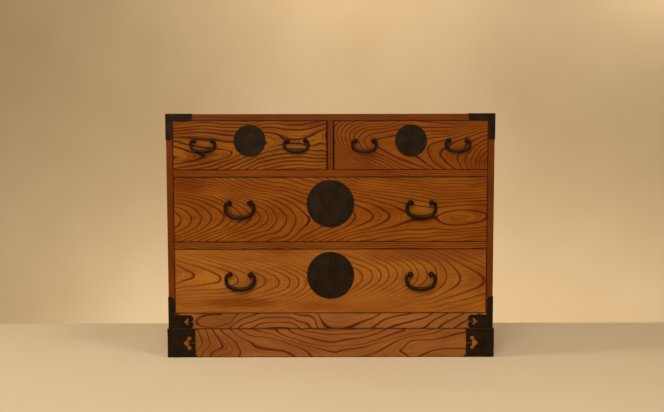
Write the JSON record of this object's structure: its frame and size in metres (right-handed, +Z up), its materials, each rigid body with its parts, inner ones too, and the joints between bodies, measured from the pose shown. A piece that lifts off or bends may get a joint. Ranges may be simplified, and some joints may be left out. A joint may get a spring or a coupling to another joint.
{
  "type": "clothing chest",
  "caption": "Low wooden clothing chest on a plain base, with full-width drawers under half-width ones, round iron lock plates, hanging bail handles and iron corner fittings.",
  "frame": {"origin": "on the floor, under the middle of the whole object's width and depth, handles included", "axes": "+X to the right along the front, +Y from the drawer fronts to the back, +Z up"},
  "size_m": [1.2262, 0.4765, 0.9121],
  "materials": {
    "zelkova": "wiped translucent lacquer over bold cathedral grain",
    "inner_wood": "bare planed softwood",
    "black_iron": "blackened, satin",
    "lock_iron": "bare forged iron"
  },
  "bodies": {
    "case": {"top_board": "zelkova", "left_side_board": "zelkova", "right_side_board": "zelkova", "bottom_board": "inner_wood", "back_boards": "inner_wood", "centre_divider": "zelkova", "upper_rail": "zelkova", "upper_dust_board": "inner_wood", "lower_rail": "zelkova", "lower_dust_board": "inner_wood", "bottom_rail": "zelkova", "base_front_rail": "zelkova", "base_back_rail": "inner_wood", "base_side_rails": "zelkova", "base_glue_blocks": "inner_wood", "drawer_stops": "inner_wood", "top_corner_plates": "black_iron", "bottom_corner_plates": "black_iron", "base_corner_plates": "black_iron", "corner_plate_nails": "black_iron"},
    "upper_left_drawer": {"upper_left_drawer_front": "zelkova", "upper_left_drawer_sides": "inner_wood", "upper_left_drawer_back": "inner_wood", "upper_left_drawer_bottom": "inner_wood", "upper_left_lock_plate": "black_iron", "upper_left_lock_case": "lock_iron", "upper_left_handle_posts": "black_iron"},
    "upper_left_left_bail": {"upper_left_left_bail": "black_iron"},
    "upper_left_right_bail": {"upper_left_right_bail": "black_iron"},
    "upper_left_lock_bolt": {"upper_left_lock_bolt": "lock_iron"},
    "upper_right_drawer": {"upper_right_drawer_front": "zelkova", "upper_right_drawer_sides": "inner_wood", "upper_right_drawer_back": "inner_wood", "upper_right_drawer_bottom": "inner_wood", "upper_right_lock_plate": "black_iron", "upper_right_lock_case": "lock_iron", "upper_right_handle_posts": "black_iron"},
    "upper_right_left_bail": {"upper_right_left_bail": "black_iron"},
    "upper_right_right_bail": {"upper_right_right_bail": "black_iron"},
    "upper_right_lock_bolt": {"upper_right_lock_bolt": "lock_iron"},
    "middle_drawer": {"middle_drawer_front": "zelkova", "middle_drawer_sides": "inner_wood", "middle_drawer_back": "inner_wood", "middle_drawer_bottom": "inner_wood", "middle_lock_plate": "black_iron", "middle_lock_case": "lock_iron", "middle_handle_posts": "black_iron"},
    "middle_left_bail": {"middle_left_bail": "black_iron"},
    "middle_right_bail": {"middle_right_bail": "black_iron"},
    "middle_lock_bolt": {"middle_lock_bolt": "lock_iron"},
    "lower_drawer": {"lower_drawer_front": "zelkova", "lower_drawer_sides": "inner_wood", "lower_drawer_back": "inner_wood", "lower_drawer_bottom": "inner_wood", "lower_lock_plate": "black_iron", "lower_lock_case": "lock_iron", "lower_handle_posts": "black_iron"},
    "lower_left_bail": {"lower_left_bail": "black_iron"},
    "lower_right_bail": {"lower_right_bail": "black_iron"},
    "lower_lock_bolt": {"lower_lock_bolt": "lock_iron"}
  },
  "joints": [
    {"name": "upper_left_drawer_slide", "type": "slide", "parent": "case", "child": "upper_left_drawer", "axis": [0, -1, 0], "range_m": [0, 0.36]},
    {"name": "upper_left_left_bail_hinge", "type": "hinge", "parent": "upper_left_drawer", "child": "upper_left_left_bail", "pos_m": [-0.4695, -0.22775, 0.811], "axis": [-1, 0, 0], "range_deg": [-7, 187]},
    {"name": "upper_left_right_bail_hinge", "type": "hinge", "parent": "upper_left_drawer", "child": "upper_left_right_bail", "pos_m": [-0.1255, -0.22775, 0.811], "axis": [-1, 0, 0], "range_deg": [-7, 187]},
    {"name": "upper_left_lock_bolt_slide", "type": "slide", "parent": "upper_left_drawer", "child": "upper_left_lock_bolt", "axis": [0, 0, 1], "range_m": [0, 0.008]},
    {"name": "upper_right_drawer_slide", "type": "slide", "parent": "case", "child": "upper_right_drawer", "axis": [0, -1, 0], "range_m": [0, 0.36]},
    {"name": "upper_right_left_bail_hinge", "type": "hinge", "parent": "upper_right_drawer", "child": "upper_right_left_bail", "pos_m": [0.1255, -0.22775, 0.811], "axis": [-1, 0, 0], "range_deg": [-7, 187]},
    {"name": "upper_right_right_bail_hinge", "type": "hinge", "parent": "upper_right_drawer", "child": "upper_right_right_bail", "pos_m": [0.4695, -0.22775, 0.811], "axis": [-1, 0, 0], "range_deg": [-7, 187]},
    {"name": "upper_right_lock_bolt_slide", "type": "slide", "parent": "upper_right_drawer", "child": "upper_right_lock_bolt", "axis": [0, 0, 1], "range_m": [0, 0.008]},
    {"name": "middle_drawer_slide", "type": "slide", "parent": "case", "child": "middle_drawer", "axis": [0, -1, 0], "range_m": [0, 0.36]},
    {"name": "middle_left_bail_hinge", "type": "hinge", "parent": "middle_drawer", "child": "middle_left_bail", "pos_m": [-0.336, -0.23025, 0.581], "axis": [-1, 0, 0], "range_deg": [-6.5, 186.5]},
    {"name": "middle_right_bail_hinge", "type": "hinge", "parent": "middle_drawer", "child": "middle_right_bail", "pos_m": [0.336, -0.23025, 0.581], "axis": [-1, 0, 0], "range_deg": [-6.5, 186.5]},
    {"name": "middle_lock_bolt_slide", "type": "slide", "parent": "middle_drawer", "child": "middle_lock_bolt", "axis": [0, 0, 1], "range_m": [0, 0.008]},
    {"name": "lower_drawer_slide", "type": "slide", "parent": "case", "child": "lower_drawer", "axis": [0, -1, 0], "range_m": [0, 0.36]},
    {"name": "lower_left_bail_hinge", "type": "hinge", "parent": "lower_drawer", "child": "lower_left_bail", "pos_m": [-0.336, -0.23025, 0.313], "axis": [-1, 0, 0], "range_deg": [-6.5, 186.5]},
    {"name": "lower_right_bail_hinge", "type": "hinge", "parent": "lower_drawer", "child": "lower_right_bail", "pos_m": [0.336, -0.23025, 0.313], "axis": [-1, 0, 0], "range_deg": [-6.5, 186.5]},
    {"name": "lower_lock_bolt_slide", "type": "slide", "parent": "lower_drawer", "child": "lower_lock_bolt", "axis": [0, 0, 1], "range_m": [0, 0.008]}
  ]
}
